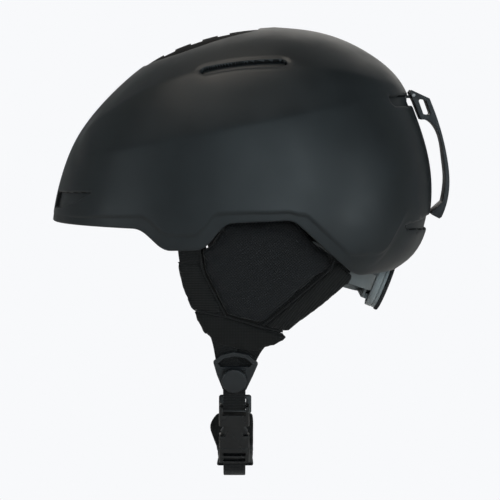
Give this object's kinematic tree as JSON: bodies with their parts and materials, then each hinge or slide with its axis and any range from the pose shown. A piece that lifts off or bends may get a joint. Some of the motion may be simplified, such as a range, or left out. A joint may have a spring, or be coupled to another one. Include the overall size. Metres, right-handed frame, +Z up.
{
  "type": "ski helmet",
  "caption": "Hard-shell snow helmet with foam liner, ear flaps, dial-adjusted fit cradle, goggle-strap clip and a buckled chin strap.",
  "frame": {"origin": "middle of the head opening, level with the brow edge of the shell", "axes": "+Z up, -Y towards the brow, +X towards the wearer's left, which is the buckle's side"},
  "size_m": [0.2232, 0.2936, 0.3344],
  "materials": {
    "shell_black": "fine matte",
    "liner_foam": "beaded foam",
    "vent_insert": "woven mesh",
    "trim_black": "satin moulded",
    "cradle_grey": "satin moulded",
    "dial_grey": "satin moulded",
    "dial_rubber": "ribbed",
    "clip_rubber": "satin moulded",
    "steel": "turned",
    "webbing": "ribbed weave",
    "mesh_fabric": "spacer mesh",
    "plain_fabric": "brushed knit",
    "pad_fabric": "brushed knit",
    "hook_tape": "hook tape"
  },
  "bodies": {
    "helmet": {"brow_pad": "pad_fabric", "clip_anchor": "trim_black", "clip_hinge_pin": "steel", "crown_pad": "pad_fabric", "crown_vent_insert": "trim_black", "divider_cap_left": "trim_black", "divider_cap_right": "trim_black", "ear_hem_left": "plain_fabric", "ear_hem_right": "plain_fabric", "ear_pad_left": "mesh_fabric", "ear_pad_right": "mesh_fabric", "ear_sleeve_front_left": "plain_fabric", "ear_sleeve_front_right": "plain_fabric", "ear_sleeve_rear_left": "plain_fabric", "ear_sleeve_rear_right": "plain_fabric", "fit_arm_left": "cradle_grey", "fit_arm_right": "cradle_grey", "front_strap_left": "webbing", "front_strap_right": "webbing", "front_vent_mesh_left": "vent_insert", "front_vent_mesh_right": "vent_insert", "impact_liner": "liner_foam", "outer_shell": "shell_black", "pad_fastener_dots": "hook_tape", "rear_lower_vent_mesh": "vent_insert", "rear_pad": "pad_fabric", "rear_strap_left": "webbing", "rear_strap_right": "webbing", "rear_upper_vent_mesh": "vent_insert", "side_pad_left": "pad_fabric", "side_pad_right": "pad_fabric", "side_vent_frame_left": "trim_black", "side_vent_frame_right": "trim_black", "strap_anchors": "trim_black", "strap_divider_left": "trim_black", "strap_divider_right": "trim_black", "temple_studs": "trim_black", "yoke_pins": "trim_black"},
    "cradle": {"cradle_yoke": "cradle_grey", "dial_housing_base": "cradle_grey", "dial_housing_cover": "cradle_grey", "ratchet_ring": "trim_black", "nape_pad": "pad_fabric"},
    "dial": {"dial_knob": "dial_grey", "dial_grip_ring": "dial_rubber", "dial_pinion": "trim_black", "dial_screw": "steel", "detent_spring": "steel"},
    "rack_left": {"rack_left": "cradle_grey"},
    "rack_right": {"rack_right": "cradle_grey"},
    "goggle_clip": {"goggle_clip": "clip_rubber"},
    "chin_right": {"chin_strap_right": "webbing", "chin_pad": "plain_fabric"},
    "chin_left": {"chin_strap_left": "webbing", "buckle_female": "trim_black"},
    "buckle_male": {"buckle_male": "trim_black", "buckle_prongs": "trim_black"},
    "strap_slider": {"strap_slider": "trim_black"}
  },
  "joints": [
    {"name": "cradle_tilt", "type": "hinge", "parent": "helmet", "child": "cradle", "pos_m": [0, 0.066, -0.008], "axis": [1, 0, 0], "range_deg": [-10, 0], "deforming": ["fit_arm_left", "fit_arm_right"]},
    {"name": "dial_turn", "type": "hinge", "parent": "cradle", "child": "dial", "pos_m": [0, 0.1081, -0.0468], "axis": [0, 0.9272, -0.3746], "range_deg": [-150, 150]},
    {"name": "rack_left_slide", "type": "slide", "parent": "cradle", "child": "rack_left", "axis": [1, 0, 0], "range_m": [-0.012, 0.012], "deforming": ["fit_arm_left"]},
    {"name": "rack_right_slide", "type": "slide", "parent": "cradle", "child": "rack_right", "axis": [-1, 0, 0], "range_m": [-0.012, 0.012], "deforming": ["fit_arm_right"]},
    {"name": "goggle_clip_hinge", "type": "hinge", "parent": "helmet", "child": "goggle_clip", "pos_m": [0, 0.1264, 0.0943], "axis": [1, 0, 0], "range_deg": [0, 40]},
    {"name": "chin_swing_right", "type": "hinge", "parent": "helmet", "child": "chin_right", "pos_m": [0, -0.0055, -0.11], "axis": [1, 0, 0], "range_deg": [-20, 20]},
    {"name": "chin_swing_left", "type": "hinge", "parent": "helmet", "child": "chin_left", "pos_m": [0, -0.0055, -0.11], "axis": [1, 0, 0], "range_deg": [-20, 20]},
    {"name": "buckle_release", "type": "slide", "parent": "chin_right", "child": "buckle_male", "axis": [-0.23, 0, -0.9732], "range_m": [0, 0.018], "deforming": ["buckle_prongs", "chin_strap_right"]},
    {"name": "slider_adjust", "type": "slide", "parent": "chin_right", "child": "strap_slider", "axis": [0.23, 0, -0.9732], "range_m": [-0.008, 0.006]}
  ],
  "couplings": [
    {"joint": "rack_left_slide", "follows": "dial_turn", "m_per_rad": 0.0045},
    {"joint": "rack_right_slide", "follows": "dial_turn", "m_per_rad": 0.0045},
    {"joint": "chin_swing_left", "follows": "chin_swing_right", "ratio": 1}
  ]
}
